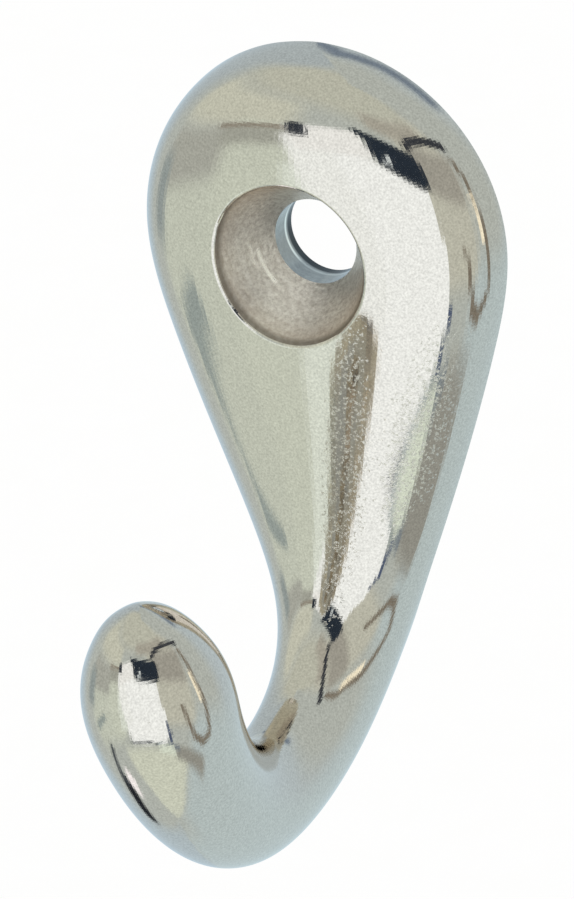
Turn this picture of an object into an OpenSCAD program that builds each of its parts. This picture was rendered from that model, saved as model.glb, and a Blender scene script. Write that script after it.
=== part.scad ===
// Towel hook: a one-piece casting with a tapered, domed back plate, one
// countersunk screw hole, and an arm that bends out and up to an egg-shaped knob.
// Frame: +Z up, the wall is the plane y = 0 and the hook stands out towards -Y.
// The origin is on the axis of the screw hole, at the wall.

/* [Plate] */
// Width of the round head
head_w = 19.5; // [16:0.1:26]
// Height of the head above the hole's axis
head_rise = 10.0; // [8:0.1:13]
// Thickness of the plate at the hole
plate_t = 5.0; // [4:0.1:7]
// Thickness of the plate at the neck
neck_t = 4.3; // [3:0.1:5]
// Slope of each side of the plate, in degrees
taper = 19.0; // [16:0.1:22]
// How far each side bows out from its straight taper
side_bow = 0.4; // [0:0.1:1]
// Distance below the hole over which the plate keeps its full thickness
full_t_drop = 4.6; // [3:0.1:7]
// Squareness of the plate's section at the hole, where 2 is an ellipse
squareness = 2.8; // [2:0.1:4]
// How soon the plate thins towards its top edge, where 1 is an even dome and less keeps it thick
thinning = 0.46; // [0.3:0.02:1]

/* [Arm] */
// Distance from the hole's axis down to the neck, where the arm starts
neck_drop = 16.4; // [14:0.1:21]
// Distance from the hole's axis down to the lowest point of the arm's guide line
arm_drop = 26.3; // [24:0.1:34]
// Distance from the wall to that lowest point
bend_out = 11.0; // [8:0.1:13]
// Distance from the wall to the tip of the knob
reach = 23.0; // [18:0.1:28]
// Distance from the hole's axis down to the tip of the knob
tip_drop = 9.0; // [5:0.1:13]
// Thickness of the arm, from throat to heel, where it leaves the plate
root_t = 8.3; // [6.5:0.1:10]
// Thickness of the arm at its lowest point
waist_t = 6.4; // [5:0.1:8]
// Width of the arm from its root to its lowest point
waist_w = 4.7; // [4:0.1:6.5]
// Thickness of the knob, front to back
knob_t = 7.9; // [6.5:0.1:9.5]
// Width of the knob
knob_w = 7.4; // [5.5:0.1:9.5]
// How late the arm swells into the knob, where 1 is an even swelling
swell = 1.5; // [1:0.1:2]

/* [Screw hole] */
// Diameter of the hole for the screw's shank
screw_d = 4.5; // [3:0.1:5.5]
// Diameter of the countersink at the face of the plate
mouth_d = 8.5; // [7:0.1:11]
// Length of the plain hole behind the countersink
land_t = 1.8; // [0.8:0.1:2.5]

/* [Hidden] */
$fn = 96;

// The skin is a bicubic B-spline over guide sections, each with this many points
section_points = 12;
// Flat strips between two guide sections, and between two points of a section
strips_along = 4;
strips_around = 4;
// Angle between two guide sections of the head
head_step = 30;
// Pull of the guide line's two bends, as lengths of their handles
root_handle = 5.3;
heel_handle = 6.0;
lift_handle = 6.5;
knob_handle = 8.9;
// Overshoot of the cutters past the faces that they open
past = 1;

half_w = head_w / 2;
// Distance below the hole at which the sides have stopped bowing out
bow_end = neck_drop * 1.3;

// A smooth skin lies inside the points that guide it: these set it to the stated sizes
function pull_in(power) = (4 + 2 * pow(cos(360 / section_points), 2 / power)) / 6;
head_out = 3 / (2 + cos(head_step));
// The knob's end rounds off towards its tip, so its last section is drawn this much larger
knob_out = 1.1;

function signed_pow(v, power) = sign(v) * pow(abs(v), power);

// Points of one guide section: centre [out, up], turn towards the front, half sizes
function section(centre, turn, w, t, power) =
    let (fit = 1 / pull_in(power))
    [for (i = [0 : section_points - 1])
        let (a = 360 * i / section_points,
             x = w * fit * signed_pow(cos(a), 2 / power),
             n = t * fit * signed_pow(sin(a), 2 / power))
        [x, -centre[0] - n * cos(turn), centre[1] + n * sin(turn)]];

// Half width of the plate at a distance below the hole: a line tangent to the head, bowed
function side(down) =
    sqrt(pow(half_w, 2) + pow(head_rise * tan(taper), 2)) - down * tan(taper)
    + side_bow * sin(180 * min(down / bow_end, 1));

// Thickness of the plate at a distance below the hole
function thickness(down) =
    let (share = max(0, down - full_t_drop) / (neck_drop - full_t_drop))
    plate_t * head_out + (neck_t - plate_t * head_out) * share;

// The plate is squarest at the hole, and elliptical at its top edge and at the neck
function power_at(share) = 2 + (squareness - 2) * share;

// Head: sections at equal angles from the top, the first one a mirror image past the pole
head_sections = [for (a = [-head_step : head_step : 90])
    section([0, head_rise * head_out * cos(a)], 0, half_w * head_out * sin(a),
            plate_t * head_out * signed_pow(sin(a), thinning), power_at(abs(sin(a))))];

// Plate: sections at a third, two thirds and the whole of the way to the neck
plate_sections = [for (i = [1 : 3])
    let (down = neck_drop * i / 3)
    section([0, -down], 0, side(down), thickness(down), power_at(1 - i / 3))];

// Guide line of the arm, as [out, up]: out and down from the neck, then up to the knob
neck = [0, -neck_drop];
heel = [bend_out, -arm_drop];
tip = [reach, -tip_drop];
function curve(a, b, c, d, t) =
    pow(1 - t, 3) * a + 3 * pow(1 - t, 2) * t * b + 3 * (1 - t) * t * t * c + pow(t, 3) * d;
function bend(t) = curve(neck, neck - [0, root_handle], heel - [heel_handle, 0], heel, t);
function lift(t) = curve(heel, heel + [lift_handle, 0], tip - [0, knob_handle], tip, t);
arm_line = concat([for (i = [1 : 3]) bend(i / 3)], [for (i = [1 : 5]) lift(i / 5)]);
arm_count = len(arm_line) - 1;

// Half sizes of the arm's sections: root, half way, waist, and the swelling to the knob
swelling = [for (i = [1 : 4]) pow(i / 4, swell)];
arm_w = concat([side(-arm_line[0][1]), waist_w / 2, waist_w / 2],
    [for (s = swelling) (waist_w + (knob_w * knob_out - waist_w) * s) / 2]);
arm_t = concat([root_t / 2, (root_t + waist_t) / 4, waist_t / 2],
    [for (s = swelling) (waist_t + (knob_t * knob_out - waist_t) * s) / 2]);

// Each section stands square to the line through its neighbours, the last to the tip
function turn_of(before, after) = atan2(after[0] - before[0], before[1] - after[1]);
arm_turn = [for (i = [0 : arm_count - 1])
    i == arm_count - 1
        ? turn_of(arm_line[i], arm_line[i + 1])
        : turn_of(i == 0 ? neck : arm_line[i - 1], arm_line[i + 1])];
arm_sections = [for (i = [0 : arm_count - 1])
    section(arm_line[i], arm_turn[i], arm_w[i], arm_t[i], 2)];

// Tip: a point, and the last section mirrored through it, which closes the skin smoothly
last = arm_count - 1;
tip_sections = [
    section(tip, arm_turn[last], 0, 0, 2),
    section(arm_line[last], arm_turn[last], -arm_w[last], -arm_t[last], 2)];

sections = concat(head_sections, plate_sections, arm_sections, tip_sections);

// Weights of four neighbouring points at a share t of a B-spline span
function weights(t) =
    [pow(1 - t, 3), 3 * t * t * t - 6 * t * t + 4, -3 * t * t * t + 3 * t * t + 3 * t + 1, t * t * t] / 6;
function mix(w, a, b, c, d) = a * w[0] + b * w[1] + c * w[2] + d * w[3];

spans = len(sections) - 3;
rows = spans * strips_along;
columns = section_points * strips_around;

// Row of the skin, with its guide points blended along the hook and then around it
function row_points(row) =
    let (span = min(floor(row / strips_along), spans - 1),
         w = weights(row / strips_along - span),
         ring = mix(w, sections[span], sections[span + 1], sections[span + 2], sections[span + 3]))
    [for (i = [0 : section_points - 1]) for (j = [0 : strips_around - 1])
        mix(weights(j / strips_around), ring[(i + section_points - 1) % section_points],
            ring[i], ring[(i + 1) % section_points], ring[(i + 2) % section_points])];

// The first and the last row are single points
skin_points = concat([row_points(0)[0]],
    [for (row = [1 : rows - 1]) each row_points(row)], [row_points(rows)[0]]);
function at(row, column) = 1 + (row - 1) * columns + column % columns;
end_point = len(skin_points) - 1;
skin_faces = concat(
    [for (c = [0 : columns - 1]) [0, at(1, c), at(1, c + 1)]],
    [for (r = [1 : rows - 2]) for (c = [0 : columns - 1])
        each [[at(r, c), at(r + 1, c), at(r + 1, c + 1)], [at(r, c), at(r + 1, c + 1), at(r, c + 1)]]],
    [for (c = [0 : columns - 1]) [end_point, at(rows - 1, c + 1), at(rows - 1, c)]]);

// Body of the casting, cut flat where it meets the wall
module casting() {
    room = 2 * (head_w + arm_drop);
    intersection() {
        polyhedron(points = skin_points, faces = skin_faces, convexity = 4);
        translate([-room / 2, -room, -room / 2]) cube([room, room, room]);
    }
}

// Screw hole: a plain hole from the back, and a cone that opens to the front
module screw_cutter() {
    slope = (mouth_d - screw_d) / 2 / (plate_t - land_t);
    rotate([90, 0, 0]) {
        translate([0, 0, -past]) cylinder(d = screw_d, h = past + land_t + past);
        translate([0, 0, land_t])
            cylinder(d1 = screw_d, d2 = mouth_d + 2 * slope * past, h = plate_t - land_t + past);
    }
}

module hook() {
    color("#c9c7bf") difference() {
        casting();
        screw_cutter();
    }
}

hook();
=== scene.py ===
"""Towel hook: a small cast wall hook, polished and nickel plated, in a white light tent."""

from math import atan2, cos, degrees, hypot, radians, sin, sqrt, tan

import bmesh
import bpy
from mathutils import Matrix, Vector


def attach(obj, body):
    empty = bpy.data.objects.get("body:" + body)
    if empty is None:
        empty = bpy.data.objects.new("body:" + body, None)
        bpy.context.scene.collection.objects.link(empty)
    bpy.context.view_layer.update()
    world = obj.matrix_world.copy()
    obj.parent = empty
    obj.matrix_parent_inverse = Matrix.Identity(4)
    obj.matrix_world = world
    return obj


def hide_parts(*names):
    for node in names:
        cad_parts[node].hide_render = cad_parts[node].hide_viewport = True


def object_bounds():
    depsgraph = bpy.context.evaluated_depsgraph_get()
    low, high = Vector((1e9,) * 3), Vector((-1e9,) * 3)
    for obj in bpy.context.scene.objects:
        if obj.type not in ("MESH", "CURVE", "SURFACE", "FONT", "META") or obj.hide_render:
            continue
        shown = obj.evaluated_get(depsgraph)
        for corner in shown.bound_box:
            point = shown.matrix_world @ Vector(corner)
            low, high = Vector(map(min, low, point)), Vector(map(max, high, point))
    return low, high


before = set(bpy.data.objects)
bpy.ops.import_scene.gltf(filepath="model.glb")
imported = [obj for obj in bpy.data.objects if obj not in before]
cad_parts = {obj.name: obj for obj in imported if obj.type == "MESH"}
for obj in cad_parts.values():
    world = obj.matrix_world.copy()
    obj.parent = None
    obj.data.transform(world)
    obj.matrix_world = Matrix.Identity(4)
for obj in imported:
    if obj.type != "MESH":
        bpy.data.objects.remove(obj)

bl_info = {
    "name": "Towel Hook",
    "version": (1, 0, 0),
    "blender": (4, 5, 0),
    "location": "3D View > Sidebar > Towel Hook",
    "description": "Models a cast and nickel-plated towel hook, and the light tent it stands in",
    "category": "Add Mesh",
}

MM = 0.001
CAD_NODE = "hook"
CAD_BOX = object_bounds()


# --- Sizes and colours that a user would change -------------------------------------------


def length(name, description, millimetres, low=0.0):
    """A property that holds a length, given here in millimetres."""
    return bpy.props.FloatProperty(
        name=name, description=description, default=millimetres * MM, min=low * MM,
        unit="LENGTH", precision=5)


def share(name, description, value, top=1.0):
    """A property that holds a plain number from 0 to top."""
    return bpy.props.FloatProperty(
        name=name, description=description, default=value, min=0.0, max=top, subtype="FACTOR")


def angle(name, description, value):
    """A property that holds an angle, given here in degrees."""
    return bpy.props.FloatProperty(
        name=name, description=description, default=radians(value), subtype="ANGLE", unit="ROTATION")


def linear(hex_colour):
    """Turns an sRGB hex colour such as "c9c7bf" into the linear values that a shader takes."""
    parts = [int(hex_colour[i:i + 2], 16) / 255 for i in (0, 2, 4)]
    return [p / 12.92 if p <= 0.04045 else ((p + 0.055) / 1.055) ** 2.4 for p in parts]


def colour(name, description, hex_colour):
    """A property that holds a colour, given here as sRGB hex."""
    return bpy.props.FloatVectorProperty(
        name=name, description=description, default=linear(hex_colour), size=3, min=0.0, max=1.0,
        subtype="COLOR")


class HookSizes(bpy.types.PropertyGroup):
    """Sizes of the casting, the same as the CAD part's."""

    head_w: length("Head Width", "Width of the round head", 19.5)
    head_rise: length("Head Rise", "Height of the head above the screw hole's axis", 10.0)
    plate_t: length("Plate Thickness", "Thickness of the plate at the hole", 5.0)
    neck_t: length("Neck Thickness", "Thickness of the plate at the neck", 4.3)
    taper: angle("Taper", "Slope of each side of the plate", 19.0)
    side_bow: length("Side Bow", "How far each side bows out from its taper", 0.4)
    full_t_drop: length("Full Thickness Drop", "How far below the hole the plate stays thick", 4.6)
    squareness: share("Squareness", "Power of the plate's section at the hole, 2 is an ellipse", 2.8, 4)
    thinning: share("Thinning", "How soon the plate thins towards its top edge", 0.46)
    neck_drop: length("Neck Drop", "Distance from the hole's axis down to the neck", 16.4)
    arm_drop: length("Arm Drop", "Distance from the hole's axis down to the arm's lowest point", 26.3)
    bend_out: length("Bend Out", "Distance from the wall to the arm's lowest point", 11.0)
    reach: length("Reach", "Distance from the wall to the tip of the knob", 23.0)
    tip_drop: length("Tip Drop", "Distance from the hole's axis down to the tip of the knob", 9.0)
    root_t: length("Root Thickness", "Thickness of the arm where it leaves the plate", 8.3)
    waist_t: length("Waist Thickness", "Thickness of the arm at its lowest point", 6.4)
    waist_w: length("Waist Width", "Width of the arm from its root to its lowest point", 4.7)
    knob_t: length("Knob Thickness", "Thickness of the knob, front to back", 7.9)
    knob_w: length("Knob Width", "Width of the knob", 7.4)
    swell: share("Swell", "How late the arm swells into the knob", 1.5, 2)
    screw_d: length("Screw Hole", "Diameter of the plain hole", 4.5)
    mouth_d: length("Countersink", "Diameter of the countersink at the plate's face", 8.5)
    land_t: length("Plain Length", "Length of the plain hole behind the countersink", 1.8)
    rim_round: length("Rim Rounding", "Radius to which polishing has rounded the hole's rim", 0.1)


class HookFinish(bpy.types.PropertyGroup):
    """Colours and textures of the metal."""

    nickel: colour("Nickel", "Polished nickel plating", "d6cdc1")
    bore: colour("Bore", "Nickel over the turned wall of the countersink", "f6f1e8")
    back: colour("Back", "Nickel over the ground back", "cbc1b6")
    polish: share("Polish Roughness", "Roughness of the polished plating", 0.06)
    peel: length("Peel Spacing", "Spacing of the fine ripple under the plating", 0.17)
    peel_depth: length("Peel Depth", "Depth of that ripple", 0.0018)
    dimple: length("Dimple Spacing", "Spacing of the small dimples of the casting", 0.20)
    dimple_depth: length("Dimple Depth", "Depth of those dimples", 0.0065)
    wave: length("Wave Spacing", "Spacing of the slow waves left by polishing", 3.0)
    wave_depth: length("Wave Depth", "Depth of those waves", 0.010)
    pits: share("Pits", "Share of the surface's cells that hold a casting pit", 0.02)
    mottle: share("Mottling", "How much the plating's flecks differ in tone", 0.19)
    turning: length("Turning Marks", "Spacing of the cutter's marks in the countersink", 0.12)


class HookStudio(bpy.types.PropertyGroup):
    """Floor, tent and camera."""

    floor: colour("Floor", "Plain pale floor", "fefefd")
    floor_drop: length("Floor Drop", "How far the floor lies below the hook", 90)
    azimuth: angle("Azimuth", "Camera's bearing, 0 in front of the hook", 28.15)
    elevation: angle("Elevation", "Camera's height above the horizon", 23.72)
    roll: angle("Roll", "Camera's turn about its own line of sight", -4.22)
    distance: length("Distance", "Camera's distance from the point it looks at", 443.5)
    focal: bpy.props.FloatProperty(
        name="Focal Length", description="Focal length on 36 mm film", default=361.6, min=1.0,
        subtype="DISTANCE_CAMERA", unit="CAMERA")
    target: bpy.props.FloatVectorProperty(
        name="Target", description="Point that the camera looks at", size=3,
        default=(0.002195, -0.010535, -0.007313), subtype="TRANSLATION", unit="LENGTH",
        precision=5)


# --- Modelling helpers ---------------------------------------------------------------------


def start_piece(name):
    """Deselects everything and starts an empty piece in edit mode."""
    bpy.ops.object.select_all(action="DESELECT")
    bpy.ops.mesh.primitive_circle_add(vertices=3, radius=MM, fill_type="NOTHING")
    piece = bpy.context.object
    piece.name = piece.data.name = name
    bpy.ops.object.mode_set(mode="EDIT")
    bpy.ops.mesh.select_all(action="SELECT")
    bpy.ops.mesh.delete(type="VERT")
    return piece


def select(piece, kind, test):
    """Selects the vertices, edges or faces that pass a test. It is an error if none does."""
    bpy.ops.mesh.select_mode(type=kind)
    bpy.ops.mesh.select_all(action="DESELECT")
    mesh = bmesh.from_edit_mesh(piece.data)
    parts = {"VERT": mesh.verts, "EDGE": mesh.edges, "FACE": mesh.faces}[kind]
    chosen = [p for p in parts if test(p)]
    for p in chosen:
        p.select_set(True)
    mesh.select_flush_mode()
    bmesh.update_edit_mesh(piece.data)
    if not chosen:
        raise RuntimeError(f"nothing to select on {piece.name}")


def count(piece):
    """Number of vertices of the piece in edit mode."""
    return len(bmesh.from_edit_mesh(piece.data).verts)


def apply_modifier(piece, kind, **settings):
    """Adds a modifier, sets it and applies it."""
    bpy.context.view_layer.objects.active = piece
    modifier = piece.modifiers.new(kind.title(), kind)
    for key, value in settings.items():
        setattr(modifier, key, value)
    bpy.ops.object.modifier_apply(modifier=modifier.name)


# --- The casting's guide sections ------------------------------------------------------------

POINTS = 12  # points of one guide section
HEAD_STEP = radians(30)
# A smooth skin lies inside the rings that guide it: these set it to the stated sizes
HEAD_OUT = 3 / (2 + cos(HEAD_STEP))
KNOB_OUT = 1.1
BOW_END = 1.3  # where the plate's sides have stopped bowing out, as a share of the neck's drop
HANDLES = {"root": 5.3, "heel": 6.0, "lift": 6.5, "knob": 8.9}  # pull of the guide line's bends, mm
ELLIPSE = 2  # power of a section that is an ellipse, and a squarer one has more
# Dome over each end of the cage: the share that its middle is drawn in to, and its rise in mm
HEAD_DOME = (0.36, 0.27)
KNOB_DOME = (0.43, 1.0)
SUBDIVISIONS = 4


def pull_in(power):
    """Share of a guide ring's size that the smooth skin inside it has."""
    return (4 + 2 * cos(radians(360 / POINTS)) ** (2 / power)) / 6


def bezier(a, b, c, d, t):
    """Point at a share t of the curve from a to d, pulled towards b and c."""
    return a * (1 - t) ** 3 + b * 3 * (1 - t) ** 2 * t + c * 3 * (1 - t) * t * t + d * t ** 3


def half_width(s, down):
    """Half width of the plate at a distance below the hole: a line tangent to the head, bowed."""
    slope = tan(s.taper)
    bow = s.side_bow * sin(radians(180) * min(down / (s.neck_drop * BOW_END), 1))
    return sqrt((s.head_w / 2) ** 2 + (s.head_rise * slope) ** 2) - down * slope + bow


def thickness(s, down):
    """Thickness of the plate at a distance below the hole."""
    part = max(0, down - s.full_t_drop) / (s.neck_drop - s.full_t_drop)
    full = s.plate_t * HEAD_OUT
    return full + (s.neck_t - full) * part


def guide_line(s):
    """Centres of the arm's sections as (out, up), from the plate's foot to the tip."""
    neck, heel = Vector((0, -s.neck_drop)), Vector((s.bend_out, -s.arm_drop))
    tip = Vector((s.reach, -s.tip_drop))
    pull = {k: v * MM for k, v in HANDLES.items()}
    down, out = Vector((0, -1)), Vector((1, 0))
    bend = [bezier(neck, neck + down * pull["root"], heel - out * pull["heel"], heel, i / 3)
            for i in (1, 2, 3)]
    lift = [bezier(heel, heel + out * pull["lift"], tip + down * pull["knob"], tip, i / 5)
            for i in (1, 2, 3, 4, 5)]
    return neck, bend + lift


def guide_rings(s):
    """The rings that guide the skin, as (centre, half width, half thickness, power), with a point
    and a mirrored ring past each end. Centres and thicknesses are (out, up) vectors."""
    rings = []
    for a in (-30, 0, 30, 60, 90):
        across, sign = abs(sin(radians(a))), -1 if a < 0 else 1
        rings.append((Vector((0, s.head_rise * HEAD_OUT * cos(radians(a)))),
                      s.head_w / 2 * HEAD_OUT * across * sign,
                      Vector((s.plate_t * HEAD_OUT * across ** s.thinning * sign, 0)),
                      ELLIPSE + (s.squareness - ELLIPSE) * across))
    for i in (1, 2, 3):
        down = s.neck_drop * i / 3
        rings.append((Vector((0, -down)), half_width(s, down), Vector((thickness(s, down), 0)),
                      ELLIPSE + (s.squareness - ELLIPSE) * (1 - i / 3)))
    neck, line = guide_line(s)
    swelling = [(i / 4) ** s.swell for i in (1, 2, 3, 4)]
    widths = [half_width(s, -line[0].y), s.waist_w / 2, s.waist_w / 2]
    widths += [(s.waist_w + (s.knob_w * KNOB_OUT - s.waist_w) * k) / 2 for k in swelling]
    thicks = [s.root_t / 2, (s.root_t + s.waist_t) / 4, s.waist_t / 2]
    thicks += [(s.waist_t + (s.knob_t * KNOB_OUT - s.waist_t) * k) / 2 for k in swelling]
    before = [neck, *line[:5], line[6]]
    for centre, last, after, w, t in zip(line, before, line[1:], widths, thicks):
        along = (after - last).normalized()
        rings.append((centre, w, Vector((-along.y, along.x)) * t, ELLIPSE))
    centre, w, t, _ = rings[-1]
    return rings + [(line[-1], 0, t * 0, ELLIPSE), (centre, -w, -t, ELLIPSE)]


def mix(*weighted):
    """Weighted sum of rings."""
    return tuple(sum((ring[k] * w for w, ring in weighted[1:]), weighted[0][1][k] * weighted[0][0])
                 for k in range(4))


def refined(rings):
    """Twice as many rings that guide the same smooth skin, from next to one end to the other."""
    made = []
    for before, ring, after in zip(rings[1:], rings[2:-2], rings[3:]):
        made.append(mix((0.5, before), (0.5, ring)))
        made.append(mix((0.125, before), (0.75, ring), (0.125, after)))
    return made + [mix((0.5, rings[-3]), (0.5, rings[-2]))]


def add_ring(piece, centre, half_w, half_t, power):
    """Adds one ring of the cage: a circle, drawn out to its size, squared and turned."""
    fit = 1 / pull_in(power)
    place = (0, -centre.x, centre.y)
    flat = half_t.length / half_w
    bpy.ops.mesh.select_all(action="DESELECT")
    first = count(piece)
    bpy.ops.mesh.primitive_circle_add(
        vertices=POINTS, radius=half_w * fit, fill_type="NOTHING", location=place)
    bpy.ops.transform.resize(value=(1, flat, 1), center_override=place)
    if power > ELLIPSE + 0.001:
        # The points off the two axes stand 30 and 60 degrees round, and go out to the corners
        far = cos(radians(30)) ** (2 / power - 1)
        near = sin(radians(30)) ** (2 / power - 1)
        for wide, grow in ((True, (far, near, 1)), (False, (near, far, 1))):
            def corner(v):
                x, y = abs(v.co.x), abs(v.co.y - place[1]) / flat
                return v.index >= first and min(x, y) > half_w / 9 and (x > y) == wide
            select(piece, "VERT", corner)
            bpy.ops.transform.resize(value=grow, center_override=place)
    select(piece, "VERT", lambda v: v.index >= first)
    turn = atan2(half_t.y, half_t.x)
    bpy.ops.transform.rotate(value=turn, orient_axis="X", center_override=place)
    if first:
        select(piece, "VERT", lambda v: v.index >= first - POINTS)
        bpy.ops.mesh.bridge_edge_loops()


def close_end(piece, first, inner, rise):
    """Closes an end ring with three by three quads and raises their middle into a dome."""
    select(piece, "VERT", lambda v: first <= v.index < first + POINTS)
    before = count(piece)
    bpy.ops.mesh.fill_grid(span=3, offset=0)
    select(piece, "VERT", lambda v: v.index >= before)
    middle = sum((v.co for v in bmesh.from_edit_mesh(piece.data).verts if v.select), Vector()) / 4
    bpy.ops.transform.resize(value=(inner, inner, inner), center_override=middle)
    bpy.ops.transform.translate(value=rise)


def build_skin(piece, s):
    """Skin of the casting: rings bridged into a cage, closed at both ends and subdivided."""
    guides = guide_rings(s)
    rings = refined(guides)
    for ring in rings:
        add_ring(piece, *ring)
    ahead = (guides[-2][0] - rings[-1][0]).normalized()
    inner, rise = HEAD_DOME
    close_end(piece, 0, inner, (0, 0, rise * MM))
    inner, rise = KNOB_DOME
    close_end(piece, POINTS * (len(rings) - 1), inner, Vector((0, -ahead.x, ahead.y)) * rise * MM)
    bpy.ops.mesh.select_all(action="SELECT")
    bpy.ops.mesh.normals_make_consistent(inside=False)
    bpy.ops.object.mode_set(mode="OBJECT")
    apply_modifier(piece, "SUBSURF", levels=SUBDIVISIONS, render_levels=SUBDIVISIONS)
    bpy.ops.object.mode_set(mode="EDIT")


BROKEN_EDGE = 0.12  # breadth of the broken edge round the back, mm
BROKEN_IN = (0.993, 1, 0.996)  # size of the flat back, as shares of the outline round it
CUTTER_SIDES = 192
NEAR_HOLE = 6  # a face that looks at the hole's axis from within this, in mm, is a wall of the hole
# Least cosines of the angle between a wall's face and the way to the axis
ANY_WALL, CONE_WALL, STRAIGHT_WALL = 0.6, 0.8, 0.9
RIM_STEPS = (1 / 3, 2 / 3, 1, 1.6)  # shares of the rim's rounding, which ends at 1
HOLD = 0.05  # length of a short step beside an edge, which keeps its shading crisp, mm
# How near points are merged, in mm: at the wall's plane, round the hole, and all over at the end
BACK_WELD, HOLE_WELD, LAST_WELD = 0.001, 0.01, 0.002
TRUE_EDGE = radians(25)  # faces that meet at more than this are shaded with an edge between them


def cut_back(piece, s):
    """Cuts the casting flat at the wall and breaks the sharp edge round its back."""
    broken = BROKEN_EDGE * MM
    bpy.ops.mesh.select_all(action="SELECT")
    bpy.ops.mesh.bisect(
        plane_co=(0, -broken, 0), plane_no=(0, 1, 0), clear_outer=True,
        threshold=BACK_WELD * MM)
    select(piece, "EDGE", lambda e: e.is_boundary)
    bpy.ops.mesh.extrude_edges_move(TRANSFORM_OT_translate={"value": (0, broken, 0)})
    middle = (0, 0, (s.head_rise - s.arm_drop) / 2)
    bpy.ops.transform.resize(value=BROKEN_IN, center_override=middle)
    bpy.ops.mesh.edge_face_add()


def fit_to_box(piece, box):
    """Draws the skin in by the hair that it stands proud of the facets of the CAD solid."""
    points = [v.co for v in bmesh.from_edit_mesh(piece.data).verts]
    low, high = (Vector([pick(p[k] for p in points) for k in range(3)]) for pick in (min, max))
    bpy.ops.mesh.select_all(action="SELECT")
    fit = [(box[1][k] - box[0][k]) / (high[k] - low[k]) for k in range(3)]
    bpy.ops.transform.resize(value=fit, center_override=high)
    bpy.ops.transform.translate(value=Vector(box[1]) - high)


def faces_axis(f, least):
    """Whether a face looks at the screw hole's axis, as the walls of the hole do. The least cosine
    of the angle between its normal and the way to the axis says how squarely."""
    at = f.calc_center_median()
    out = hypot(at.x, at.z)
    return out < NEAR_HOLE * MM and -(f.normal.x * at.x + f.normal.z * at.z) > least * out


def cut_screw_hole(piece, s):
    """Drills and countersinks the screw hole, its rim rounded over by the polishing."""
    slope = (s.mouth_d - s.screw_d) / 2 / (s.plate_t - s.land_t)
    steep = atan2(slope, 1)
    drill, over, past = s.screw_d / 2, s.rim_round, 6 * MM
    # The cutter is larger than the countersink by the rounding, which the rim then fills
    bpy.ops.object.mode_set(mode="OBJECT")
    cutter = start_piece("cutter")
    seat = s.land_t - over / slope
    bpy.ops.mesh.primitive_cylinder_add(
        vertices=CUTTER_SIDES, radius=drill, depth=seat + MM, location=(0, (MM - seat) / 2, 0),
        rotation=(radians(90), 0, 0))
    select(cutter, "FACE", lambda f: f.normal.y < -0.9)
    bpy.ops.mesh.extrude_region_move(TRANSFORM_OT_translate={"value": (0, -past, 0)})
    mouth = 1 + past * slope / drill
    bpy.ops.transform.resize(value=(mouth, 1, mouth), center_override=(0, 0, 0))
    bpy.ops.mesh.select_all(action="SELECT")
    bpy.ops.mesh.normals_make_consistent(inside=False)
    bpy.ops.object.mode_set(mode="OBJECT")
    apply_modifier(piece, "BOOLEAN", object=cutter, operation="DIFFERENCE", solver="EXACT")
    bpy.data.objects.remove(cutter)
    bpy.ops.object.mode_set(mode="EDIT")
    select(piece, "FACE", lambda f: faces_axis(f, ANY_WALL))
    bpy.ops.mesh.delete(type="FACE")
    bpy.ops.mesh.select_all(action="SELECT")
    bpy.ops.mesh.remove_doubles(threshold=HOLE_WELD * MM)
    # The rim: three short steps round it, and one more that starts the wall straight
    select(piece, "EDGE", lambda e: e.is_boundary and e.verts[0].co.y < -s.land_t)
    radius, now_in, now_deep = s.mouth_d / 2, 0, 0
    for t in RIM_STEPS:
        turned = min(t, 1) ** 2 + max(0, t - 1)
        inward = over * (2 * t * (1 - t) + turned * (1 + sin(steep)) if t <= 1 else
                         1 + sin(steep) * t)
        deep = over * turned * cos(steep)
        bpy.ops.mesh.extrude_edges_move(
            TRANSFORM_OT_translate={"value": (0, deep - now_deep, 0)})
        closer = (radius - inward) / (radius - now_in)
        bpy.ops.transform.resize(value=(closer, 1, closer), center_override=(0, 0, 0))
        now_in, now_deep = inward, deep
    # The cone's wall, drawn flat and round at its end, and then the plain hole to the back
    hold = HOLD * MM
    for depth, wide in ((s.land_t + hold, hold * slope), (s.land_t, 0)):
        bpy.ops.mesh.extrude_edges_move()
        floor = (0, -depth, 0)
        bpy.ops.transform.resize(value=(1, 0, 1), center_override=floor)
        bpy.ops.transform.tosphere(value=1, center_override=floor)
        found = [v for v in bmesh.from_edit_mesh(piece.data).verts if v.select]
        mean = sum((v.co - Vector(floor)).length for v in found) / len(found)
        level = sum(v.co.y for v in found) / len(found)
        fit = (drill + wide) / mean
        bpy.ops.transform.resize(value=(fit, 1, fit), center_override=floor)
        bpy.ops.transform.translate(value=(0, -depth - level, 0))
    for step in (hold, s.land_t - 2 * hold):
        bpy.ops.mesh.extrude_edges_move(TRANSFORM_OT_translate={"value": (0, step, 0)})
    select(piece, "EDGE", lambda e: e.is_boundary)
    bpy.ops.mesh.bridge_edge_loops()


def finish_mesh(piece):
    """Merges doubles, turns every face outwards and shades smooth all but the true edges."""
    bpy.ops.mesh.select_all(action="SELECT")
    bpy.ops.mesh.remove_doubles(threshold=LAST_WELD * MM)
    bpy.ops.mesh.normals_make_consistent(inside=False)
    bpy.ops.object.mode_set(mode="OBJECT")
    bpy.ops.object.shade_smooth_by_angle(angle=TRUE_EDGE)
    mesh = bmesh.new()
    mesh.from_mesh(piece.data)
    gaps = sum(not e.is_manifold for e in mesh.edges)
    mesh.free()
    if gaps:
        raise RuntimeError(f"{piece.name} has {gaps} open or doubled edges")


def put_material(piece, material, test):
    """Gives a material to the faces that pass a test."""
    piece.data.materials.append(material)
    piece.active_material_index = len(piece.data.materials) - 1
    bpy.ops.object.mode_set(mode="EDIT")
    select(piece, "FACE", test)
    bpy.ops.object.material_slot_assign()
    bpy.ops.object.mode_set(mode="OBJECT")


# --- Materials -----------------------------------------------------------------------------

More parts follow.
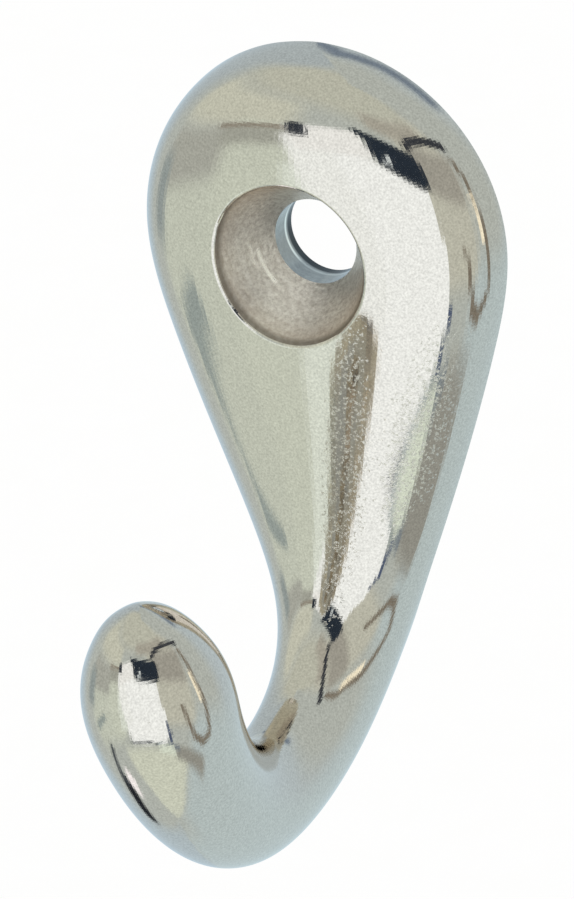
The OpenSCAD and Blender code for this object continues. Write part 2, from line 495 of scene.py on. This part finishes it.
# Second tones of the finishes and their marks, as sRGB hex; the rim, step and back-edge tones in the
# holes are painted shade and painted highlights
TONES = {
    "pit": "4a4845", "torn": "c6beb4", "browned": "b79d84", "painted rim shade": "5d564c",
    "drilled": "bab8b2", "drilled dull": "9a9994", "painted back shade": "4a4d4e", "ground dull": "aca298",
    "painted ring glint": "fffdf3", "painted step highlight": "fffcf1", "scattered light": "e7ddce",
}
WHITE = (1, 1, 1, 1)
# Less well polished streaks down the plate's front: middle, lean in degrees and half size in mm,
# and the share of cells dimpled in the middle
STREAKS = (((2.25, -4.6, -10.7), 8.4, (1.05, 2, 8), 0.85),
           ((6.0, -3.7, -8.7), 18.8, (1.4, 2.5, 6), 0.8))
ELSEWHERE = 0.04  # share of cells dimpled outside the streaks
# Cutter's rings, glossier and tinted brighter as painted highlights over part of their arc: radius in
# mm, middle and half of the arc in degrees, strength
RINGS = ((2.82, -152, 17, 1.0), (3.03, -168, 8, 0.6))


def add(tree, kind, inputs=None, output=0, **settings):
    """Adds a node with its settings, its values and its links, and returns one output."""
    made = tree.nodes.new("ShaderNode" + kind)
    for name, value in settings.items():
        setattr(made, name, value)
    for name, value in (inputs or {}).items():
        if isinstance(value, bpy.types.NodeSocket):
            tree.links.new(value, made.inputs[name])
        else:
            made.inputs[name].default_value = value
    return made.outputs[output]


def new_metal(name):
    """Starts a material and returns it with its node tree and Object coordinates."""
    material = bpy.data.materials.new(name)
    material.use_nodes = True
    tree = material.node_tree
    tree.nodes.clear()
    return material, tree, add(tree, "TexCoord", output="Object")


def tone(name):
    """One of the second tones, as a shader takes it."""
    return (*linear(TONES[name]), 1)


def finish_metal(tree, **inputs):
    """Ends a material with its shader."""
    shader = add(tree, "BsdfPrincipled", {"Metallic": 1.0, **inputs})
    add(tree, "OutputMaterial", {"Surface": shader}, output=slice(0))


def hollows(tree, place, spacing, portion, span):
    """Round hollows in a portion of the cells of a random net: 1 in a hollow, 0 outside it."""
    settings = {"Vector": place, "Scale": 1 / spacing}
    away = add(tree, "TexVoronoi", settings, output="Distance")
    chance = add(tree, "TexVoronoi", settings, output="Color")
    chosen = add(tree, "Math", {0: chance, 1: portion}, operation="LESS_THAN")
    hollow = add(tree, "MapRange", {
        "Value": away, "From Min": span[0], "From Max": span[1], "To Min": 1.0, "To Max": 0.0},
        interpolation_type="SMOOTHSTEP")
    return add(tree, "Math", {0: hollow, 1: chosen}, operation="MULTIPLY")


def polished_nickel(f):
    """Nickel plated over a zinc casting polished on a mop: a warm white mirror. The mop leaves slow
    waves, the plating a fine ripple and the casting small dimples and a few open pits, so
    reflections have nibbled edges and flecks of light, and the surface a faint mottling."""
    material, tree, place = new_metal("polished_nickel_plating")
    # Odd turns keep the patterns' own lattices off the hook's straight lines
    turned = add(tree, "Mapping", {"Vector": place, "Rotation": (0.7, 0.4, 1.1)})
    waves = add(tree, "TexNoise", {"Vector": turned, "Scale": 1 / f.wave, "Detail": 1.0})
    ripple = add(tree, "TexNoise", {
        "Vector": turned, "Scale": 1 / f.peel, "Detail": 3.0, "Roughness": 0.55,
        "Distortion": 0.6})
    relief = add(tree, "Bump", {"Height": waves, "Distance": f.wave_depth})
    relief = add(tree, "Bump", {"Height": ripple, "Distance": f.peel_depth, "Normal": relief})
    # Dimples are uneven: the net that places them is pulled about by less than its spacing
    pull = add(tree, "TexNoise", {"Vector": turned, "Scale": 2 / f.dimple}, output="Color")
    pull = add(tree, "VectorMath", {0: pull, "Scale": 2 * f.dimple}, operation="SCALE")
    uneven = add(tree, "VectorMath", {0: turned, 1: pull}, operation="ADD")
    # The mop reaches two shallow streaks down the plate's front less well than the rest
    portion = None
    for middle, lean, size, most in STREAKS:
        streak = add(tree, "Mapping", {
            "Vector": place, "Location": [m * MM for m in middle],
            "Rotation": (0, radians(lean), 0), "Scale": [m * MM for m in size]},
            vector_type="TEXTURE")
        away = add(tree, "VectorMath", {0: streak}, output=1, operation="LENGTH")
        part = add(tree, "MapRange", {
            "Value": away, "From Min": 0.7, "From Max": 1.3, "To Min": most,
            "To Max": ELSEWHERE})
        portion = part if portion is None else add(tree, "Math", {0: portion, 1: part},
                                                   operation="MAXIMUM")
    dimples = hollows(tree, uneven, f.dimple, portion, (0.0, 0.46))
    relief = add(tree, "Bump", {
        "Height": dimples, "Distance": f.dimple_depth, "Normal": relief}, invert=True)
    pit = hollows(tree, turned, 0.9 * MM, f.pits, (0.05, 0.14))
    relief = add(tree, "Bump", {
        "Height": pit, "Distance": 0.03 * MM, "Normal": relief}, invert=True)
    cloudy = add(tree, "TexNoise", {"Vector": turned, "Scale": 1 / (1.2 * MM), "Detail": 3.0})
    rough = add(tree, "MapRange", {
        "Value": cloudy, "From Min": 0.3, "From Max": 0.7, "To Min": f.polish * 0.7,
        "To Max": f.polish * 1.4})
    # The plating's grain: each fleck a little lighter or darker than the next
    grain = add(tree, "TexNoise", {"Vector": turned, "Scale": 1 / (0.11 * MM), "Detail": 2.0})
    shade = add(tree, "Math", {0: grain, 1: 4 * f.mottle, 2: 1 - 2 * f.mottle},
                operation="MULTIPLY_ADD")
    tint = add(tree, "VectorMath", {0: f.nickel, "Scale": shade}, operation="SCALE")
    tint = add(tree, "Mix", {
        "Factor": pit, "A": tint, "B": tone("pit")}, output=2, data_type="RGBA")
    finish_metal(tree, **{"Base Color": tint, "Roughness": rough, "Normal": relief})
    return material


def axis_chart(tree, place):
    """Distance from the screw hole's axis, angle round it and depth behind the wall's plane."""
    x, y, z = add(tree, "SeparateXYZ", {"Vector": place}, output=slice(None))
    flat = add(tree, "CombineXYZ", {"X": x, "Y": z})
    out = add(tree, "VectorMath", {0: flat}, output=1, operation="LENGTH")
    return out, add(tree, "Math", {0: z, 1: x}, operation="ARCTAN2"), y


def band(tree, value, middle, half, soft):
    """A band of a value: 1 within half of the middle, fading to 0 over soft."""
    away = add(tree, "Math", {0: value, 1: middle}, operation="SUBTRACT")
    away = add(tree, "Math", {0: away}, operation="ABSOLUTE")
    return add(tree, "MapRange", {
        "Value": away, "From Min": half, "From Max": half + soft, "To Min": 1.0, "To Max": 0.0})


def turned_bore(f):
    """Nickel over a countersink cut with a rotating tool and left unpolished: a satin, mottled wall
    with fine rings round the axis, arcs of two of them glossier and tinted as a painted highlight, and
    a painted shade line under its rim."""
    material, tree, place = new_metal("nickel_over_turned_countersink")
    out, around, _ = axis_chart(tree, place)
    # Distances run along the tool's marks far slower than across them
    spread = add(tree, "CombineXYZ", {
        "X": add(tree, "Math", {0: out, 1: 1 / f.turning}, operation="MULTIPLY"),
        "Y": add(tree, "Math", {0: around, 1: 3.0}, operation="MULTIPLY")})
    marks = add(tree, "TexNoise", {"Vector": spread, "Scale": 1.0, "Detail": 3.0})
    grain = add(tree, "TexNoise", {
        "Vector": place, "Scale": 1 / (0.22 * MM), "Detail": 3.0, "Roughness": 0.7})
    relief = add(tree, "Bump", {"Height": marks, "Distance": 0.020 * MM})
    relief = add(tree, "Bump", {"Height": grain, "Distance": 0.014 * MM, "Normal": relief})
    tint = add(tree, "Mix", {
        "Factor": add(tree, "MapRange", {"Value": grain, "From Min": 0.32, "From Max": 0.68}),
        "A": (*f.bore, 1), "B": tone("torn")}, output=2, data_type="RGBA")
    # The plating browns towards the rim
    brown = add(tree, "MapRange", {
        "Value": out, "From Min": 3.4 * MM, "From Max": 4.1 * MM, "To Max": 0.4})
    tint = add(tree, "Mix", {"Factor": brown, "A": tint, "B": tone("browned")},
               output=2, data_type="RGBA")
    # A painted shade line just inside the rim. The rim lies nearer the axis at the sides, where the
    # plate's face curves back
    _, _, z = add(tree, "SeparateXYZ", {"Vector": place}, output=slice(None))
    lean = add(tree, "Math", {0: z, 1: out}, operation="DIVIDE")
    lean = add(tree, "Math", {0: lean, 1: lean}, operation="MULTIPLY")
    inside = add(tree, "Math", {
        0: add(tree, "Math", {0: lean, 1: 0.16 * MM}, operation="MULTIPLY"), 1: out},
        operation="SUBTRACT")
    line = add(tree, "MapRange", {
        "Value": inside, "From Min": -4.02 * MM, "From Max": -3.86 * MM, "To Min": 0.65,
        "To Max": 0.0})
    tint = add(tree, "Mix", {"Factor": line, "A": tint, "B": tone("painted rim shade")},
               output=2, data_type="RGBA")
    # Painted highlights: arcs of two rings tinted brighter, and made glossier too
    bright = None
    for radius, middle, half, strength in RINGS:
        mark = add(tree, "Math", {
            0: band(tree, out, radius * MM, 0.02 * MM, 0.06 * MM),
            1: band(tree, around, radians(middle), radians(half), radians(6))},
            operation="MULTIPLY")
        mark = add(tree, "Math", {0: mark, 1: strength}, operation="MULTIPLY")
        bright = mark if bright is None else add(tree, "Math", {0: bright, 1: mark},
                                                 operation="MAXIMUM")
    tint = add(tree, "Mix", {"Factor": bright, "A": tint, "B": tone("painted ring glint")},
               output=2, data_type="RGBA")
    rough = add(tree, "MapRange", {"Value": bright, "To Min": 0.32, "To Max": 0.12})
    # The torn metal scatters a fifth of the light, as matt metal does
    finish_metal(tree, **{
        "Base Color": tint, "Roughness": rough, "Normal": relief, "Metallic": 0.8,
        "Specular Tint": tone("scattered light")})
    return material


def drilled_bore(f):
    """Nickel over a drilled hole, too deep to polish: a smooth grey wall that mirrors what is
    behind, with a painted highlight step, brightest on the hole's left, and then a painted shade along
    its back edge."""
    material, tree, place = new_metal("nickel_over_drilled_hole")
    _, _, deep = axis_chart(tree, place)
    # How far a point lies to the hole's left: the painted highlight step is brightest there
    left = add(tree, "VectorMath", {0: place, 1: (-1, 0, -0.17)}, output=1, operation="DOT_PRODUCT")
    lit = add(tree, "MapRange", {
        "Value": left, "From Min": 1.7 * MM, "From Max": 2.1 * MM, "To Min": 0.3})
    grain = add(tree, "TexNoise", {"Vector": place, "Scale": 1 / (0.25 * MM), "Detail": 2.0})
    relief = add(tree, "Bump", {"Height": grain, "Distance": 0.006 * MM})
    rough = add(tree, "MapRange", {"Value": grain, "To Min": 0.14, "To Max": 0.26})
    tint = add(tree, "Mix", {
        "Factor": grain, "A": tone("drilled"), "B": tone("drilled dull")},
        output=2, data_type="RGBA")
    # Painted highlight: a bright band round the hole, 0.68 mm in front of its back, strongest on the
    # left
    step = add(tree, "Math", {0: band(tree, deep, -0.68 * MM, 0.05 * MM, 0.06 * MM), 1: lit},
               operation="MULTIPLY")
    tint = add(tree, "Mix", {"Factor": step, "A": tint, "B": tone("painted step highlight")},
               output=2, data_type="RGBA")
    # Painted shade: the back 0.4 mm of the hole darkened, fading out over 0.12 mm more
    edge = band(tree, deep, -0.2 * MM, 0.2 * MM, 0.12 * MM)
    tint = add(tree, "Mix", {"Factor": edge, "A": tint, "B": tone("painted back shade")},
               output=2, data_type="RGBA")
    finish_metal(tree, **{"Base Color": tint, "Roughness": rough, "Normal": relief})
    return material


def ground_back(f):
    """Nickel over a back ground flat on a belt: satin, with straight fine scratches up and down."""
    material, tree, place = new_metal("nickel_over_ground_back")
    spread = add(tree, "Mapping", {"Vector": place, "Scale": (1 / (0.12 * MM), 1, 1 / (9 * MM))})
    scratch = add(tree, "TexNoise", {"Vector": spread, "Scale": 1.0, "Detail": 4.0})
    cast = add(tree, "TexNoise", {"Vector": place, "Scale": 1 / (2.5 * MM), "Detail": 3.0})
    relief = add(tree, "Bump", {"Height": scratch, "Distance": 0.006 * MM})
    rough = add(tree, "MapRange", {
        "Value": cast, "From Min": 0.35, "From Max": 0.65, "To Min": 0.26, "To Max": 0.38})
    tint = add(tree, "Mix", {
        "Factor": scratch, "A": (*f.back, 1), "B": tone("ground dull")},
        output=2, data_type="RGBA")
    finish_metal(tree, **{"Base Color": tint, "Roughness": rough, "Normal": relief})
    return material


# --- The light tent ------------------------------------------------------------------------

# The tent as the hook sees it, on a chart of bearing and height in degrees: bearing 0 is in
# front of the hook and grows to its right. Colours are as the plating shows them. A cloth is
# (bearing, height, half width, half height, turn, corner radius, softness, colour), and each is
# laid over those before it.
TENT_SEAM = -150
TENT_BASE = "abaea5"
CLOTHS = [
    (-30, 76, 120, 32, 0, 10, 30, "b4b3a2"),
    (-138, 22, 24, 50, 0, 20, 26, "a3aaa9"),
    (178, -10, 34, 60, 0, 20, 26, "abb3b2"),
    (150, -52, 60, 30, 0, 10, 24, "aeb8b5"),
    (-160, -45, 50, 40, 0, 20, 26, "a8b2b3"),
    (-55, -24, 30, 20, 0, 8, 14, "bbbeae"),
    (-62, 26, 38, 15, 0, 10, 14, "bdbcaa"),
    (66, 12, 30, 42, 0, 10, 14, "b6b4a4"),
    (24, -70, 62, 20, 0, 8, 12, "c4c6b3"),
    (-58, 0, 32, 9, 4, 5, 8, "a2a297"),
    (-86, -12, 8, 10, 0, 5, 8, "8d9490"),
    (-69, -29.8, 12.5, 2.4, 15, 2, 3, "8f9791"),
    (-32, -12, 12, 28, 0, 3, 8, "bfc2b1"),
    (-36, 7, 12, 5, 6, 3, 6, "9c9c90"),
    (-21, -20, 5.5, 16, 0, 1, 3, "d3d7c9"),
    (-38, 12.5, 14, 1.5, 8, 1, 3, "857c6e"),
    (15, -18, 30, 29.5, 0, 1, 2, "e9e9e3"),
    (-14.7, -9, 7, 22, 17.5, 2, 3, "e5e5de"),
    (-10, 15, 16, 8, 20, 2, 3, "e3e1da"),
    (48, 46, 36, 8, 0, 6, 12, "a19c8e"),
    (72, 22, 26, 13, -10, 6, 10, "999589"),
    (53, -50.5, 18, 3, 0, 2, 2, "d0d6c3"),
    (89, -51, 25, 4.5, 0, 4, 6, "8d8b81"),
    (65, -48, 5.5, 1.8, 0, 1.5, 2.5, "767d80"),
    (29, 21.5, 23, 10, 0, 7, 3, "262d35"),
    (9, 27.5, 9, 3, -12, 3, 2, "262d35"),
    (17, 17, 1.3, 4.5, -35, 1, 1.5, "c8ccc8"),
    (-23, 15.5, 3.6, 5, 10, 2.5, 1.5, "2a2f36"),
    (-96, -58, 15, 5, 12, 4, 4, "1e2024"),
    (-78, -50, 14, 2.5, 25, 2, 4, "4a4e50"),
    (-74, -61, 10, 4, 10, 3, 4, "f0e8e4"),
]
# A hem or a pole: (width, softness, colour, points)
POLES = [
    (20, 2, "e9e9e3", [(35, -8), (41, -22), (42, -37)]),
    (1.8, 1.5, "3e4448", [(-18, -45), (-5, -46), (12, -45), (31, -46.8)]),
    (1.2, 1.2, "7f8a88", [(31, -46.8), (44, -46.5), (57, -45)]),
    (5, 2, "46526a", [(55, -37), (55, -44)]),
    (2, 1.5, "4c566a", [(56, -45), (53, -34), (50, -27)]),
    (6, 2, "34363a", [(46, 35), (58, 41), (80, 42), (97, 38), (107, 33)]),
    (4.5, 3, "766d5f", [(104, 26), (108, 12), (107, 2), (111, -10), (114, -22), (118, -34),
                        (108, -40), (94, -38), (84, -28), (77, -14)]),
    (4, 3, "f3e6c8", [(104, 8), (104, 0), (107, -12)]),
    (9, 8, "6e7882", [(208, 32), (202, 41), (188, 44), (172, 42), (161, 39), (153, 35)]),
]


def patch(tree, chart, bearing, height, half_w, half_h, turn, radius, softness):
    """A rounded box on the tent's chart: 1 inside, 0 outside, with a soft edge."""
    local = add(tree, "Mapping", {
        "Vector": chart, "Location": (bearing, height, 0), "Rotation": (0, 0, radians(turn))},
        vector_type="TEXTURE")
    reach = add(tree, "VectorMath", {0: local}, operation="ABSOLUTE")
    reach = add(tree, "VectorMath", {0: reach, 1: (half_w, half_h, 0)}, operation="SUBTRACT")
    reach = add(tree, "VectorMath", {0: reach, 1: (0, 0, 0)}, operation="MAXIMUM")
    away = add(tree, "VectorMath", {0: reach}, output=1, operation="LENGTH")
    return add(tree, "MapRange", {
        "Value": away, "From Min": radius - softness / 2, "From Max": radius + softness / 2,
        "To Min": 1.0, "To Max": 0.0}, interpolation_type="SMOOTHSTEP")


def hang_tent(f):
    """The world: the tent in every reflection, and plain white to the floor and the camera."""
    world = bpy.data.worlds.new("light_tent")
    bpy.context.scene.world = world
    world.use_nodes = True
    world.cycles.sampling_method = "NONE"
    tree = world.node_tree
    tree.nodes.clear()

    def cloth_colour(hex_colour):
        """What a cloth has to be for the plating's own colour to show it as given."""
        return (*[c / n for c, n in zip(linear(hex_colour), f.nickel)], 1)

    way = add(tree, "TexCoord", output="Generated")
    turned = add(tree, "VectorRotate", {"Vector": way, "Angle": -radians(TENT_SEAM + 180)},
                 rotation_type="Z_AXIS")
    x, y, z = add(tree, "SeparateXYZ", {"Vector": turned}, output=slice(None))
    back = add(tree, "Math", {0: y, 1: -1.0}, operation="MULTIPLY")
    bearing = add(tree, "Math", {0: x, 1: back}, operation="ARCTAN2")
    height = add(tree, "Math", {0: z}, operation="ARCSINE")
    chart = add(tree, "VectorMath", {
        0: add(tree, "CombineXYZ", {"X": bearing, "Y": height}), "Scale": degrees(1)},
        operation="SCALE")
    seam = TENT_SEAM + 180
    seen = cloth_colour(TENT_BASE)
    for bearing, height, half_w, half_h, turn, radius, soft, shade in CLOTHS:
        mask = patch(tree, chart, bearing - seam, height, half_w - radius, half_h - radius,
                     turn, radius, soft)
        seen = add(tree, "Mix", {"Factor": mask, "A": seen, "B": cloth_colour(shade)},
                   output=2, data_type="RGBA")
    for width, soft, shade, points in POLES:
        mask = None
        for (b0, h0), (b1, h1) in zip(points, points[1:]):
            part = patch(tree, chart, (b0 + b1) / 2 - seam, (h0 + h1) / 2,
                         hypot(b1 - b0, h1 - h0) / 2, 0, degrees(atan2(h1 - h0, b1 - b0)),
                         width / 2, soft)
            mask = part if mask is None else add(tree, "Math", {0: mask, 1: part},
                                                 operation="MAXIMUM")
        seen = add(tree, "Mix", {"Factor": mask, "A": seen, "B": cloth_colour(shade)},
                   output=2, data_type="RGBA")
    camera = add(tree, "LightPath", output="Is Camera Ray")
    diffuse = add(tree, "LightPath", output="Is Diffuse Ray")
    plain = add(tree, "Math", {0: camera, 1: diffuse}, operation="MAXIMUM")
    seen = add(tree, "Mix", {"Factor": plain, "A": seen, "B": WHITE},
               output=2, data_type="RGBA")
    light = add(tree, "Background", {"Color": seen, "Strength": 1.0})
    add(tree, "OutputWorld", {"Surface": light}, output=slice(0))


FLOOR_SIZE = 30  # metres, so that its edges lie out of sight


def lay_floor(t, low):
    """A plain pale sheet below the hook. The tent, not the floor, shows in the plating."""
    bpy.ops.object.select_all(action="DESELECT")
    bpy.ops.mesh.primitive_plane_add(size=1)
    floor = bpy.context.object
    floor.name = floor.data.name = "floor"
    bpy.ops.object.mode_set(mode="EDIT")
    bpy.ops.mesh.select_all(action="SELECT")
    bpy.ops.transform.resize(value=(FLOOR_SIZE, FLOOR_SIZE, 1), center_override=(0, 0, 0))
    bpy.ops.transform.translate(value=(0, 0, low - t.floor_drop))
    bpy.ops.object.mode_set(mode="OBJECT")
    material = bpy.data.materials.new("white_paper_floor")
    material.use_nodes = True
    tree = material.node_tree
    tree.nodes.clear()
    # Matt paper: a faint grain keeps it from being a dead flat tone
    place = add(tree, "TexCoord", output="Object")
    grain = add(tree, "TexNoise", {"Vector": place, "Scale": 1 / (4 * MM)})
    tint = add(tree, "Mix", {
        "Factor": grain, "A": (*t.floor, 1), "B": WHITE}, output=2, data_type="RGBA")
    paper = add(tree, "BsdfDiffuse", {"Color": tint})
    add(tree, "OutputMaterial", {"Surface": paper}, output=slice(0))
    floor.data.materials.append(material)
    floor.visible_glossy = False


def set_camera(t):
    """Looks at the hook from above its right side."""
    a, e, roll = t.azimuth, t.elevation, t.roll
    right = Vector((cos(a), sin(a), 0))
    back = Vector((sin(a) * cos(e), -cos(a) * cos(e), sin(e)))
    up = back.cross(right)
    right, up = right * cos(roll) + up * sin(roll), up * cos(roll) - right * sin(roll)
    turn = Matrix((right, up, back)).transposed()
    bpy.ops.object.camera_add(location=Vector(t.target) + back * t.distance,
                              rotation=turn.to_euler())
    camera = bpy.context.object
    camera.data.lens = t.focal
    camera.data.clip_start, camera.data.clip_end = 0.01, 100
    bpy.context.scene.camera = camera


# --- Operators, panel and registration -------------------------------------------------------


class HOOK_OT_add_casting(bpy.types.Operator):
    """Models the hook in one piece, with its screw hole and its finishes"""

    bl_idname = "hook.add_casting"
    bl_label = "Add Casting"
    bl_options = {"REGISTER", "UNDO"}

    def execute(self, context):
        s, f = context.scene.hook_sizes, context.scene.hook_finish
        piece = start_piece("towel_hook")
        build_skin(piece, s)
        cut_back(piece, s)
        fit_to_box(piece, CAD_BOX)
        cut_screw_hole(piece, s)
        finish_mesh(piece)
        put_material(piece, polished_nickel(f), lambda face: True)
        put_material(piece, turned_bore(f), lambda face: (
            faces_axis(face, CONE_WALL) and face.calc_center_median().y < -s.land_t))
        put_material(piece, drilled_bore(f), lambda face: (
            faces_axis(face, STRAIGHT_WALL) and face.calc_center_median().y > -s.land_t))
        put_material(piece, ground_back(f), lambda face: (
            face.normal.y > 0.9 and face.calc_center_median().y > -0.01 * MM))
        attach(piece, "root")
        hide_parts(CAD_NODE)
        return {"FINISHED"}


class HOOK_OT_add_stage(bpy.types.Operator):
    """Lays the floor, hangs the light tent and sets the camera"""

    bl_idname = "hook.add_stage"
    bl_label = "Add Stage"
    bl_options = {"REGISTER", "UNDO"}

    def execute(self, context):
        t = context.scene.hook_studio
        hang_tent(context.scene.hook_finish)
        lay_floor(t, CAD_BOX[0][2])
        set_camera(t)
        context.scene.view_settings.view_transform = "Standard"
        return {"FINISHED"}


class HOOK_PT_panel(bpy.types.Panel):
    """Lists the hook's sizes, its finish and its stage"""

    bl_idname = "HOOK_PT_panel"
    bl_label = "Towel Hook"
    bl_space_type = "VIEW_3D"
    bl_region_type = "UI"
    bl_category = "Towel Hook"

    def draw(self, context):
        for group, step in ((context.scene.hook_sizes, HOOK_OT_add_casting),
                            (context.scene.hook_finish, None),
                            (context.scene.hook_studio, HOOK_OT_add_stage)):
            column = self.layout.column(align=True)
            for name in group.__annotations__:
                column.prop(group, name)
            if step:
                self.layout.operator(step.bl_idname)


CLASSES = (HookSizes, HookFinish, HookStudio, HOOK_OT_add_casting, HOOK_OT_add_stage,
           HOOK_PT_panel)
GROUPS = {"hook_sizes": HookSizes, "hook_finish": HookFinish, "hook_studio": HookStudio}


def register():
    for c in CLASSES:
        bpy.utils.register_class(c)
    for name, group in GROUPS.items():
        setattr(bpy.types.Scene, name, bpy.props.PointerProperty(type=group))


def unregister():
    for name in GROUPS:
        delattr(bpy.types.Scene, name)
    for c in reversed(CLASSES):
        bpy.utils.unregister_class(c)


def main():
    register()
    bpy.ops.hook.add_casting()
    bpy.ops.hook.add_stage()


if __name__ == "__main__":
    main()
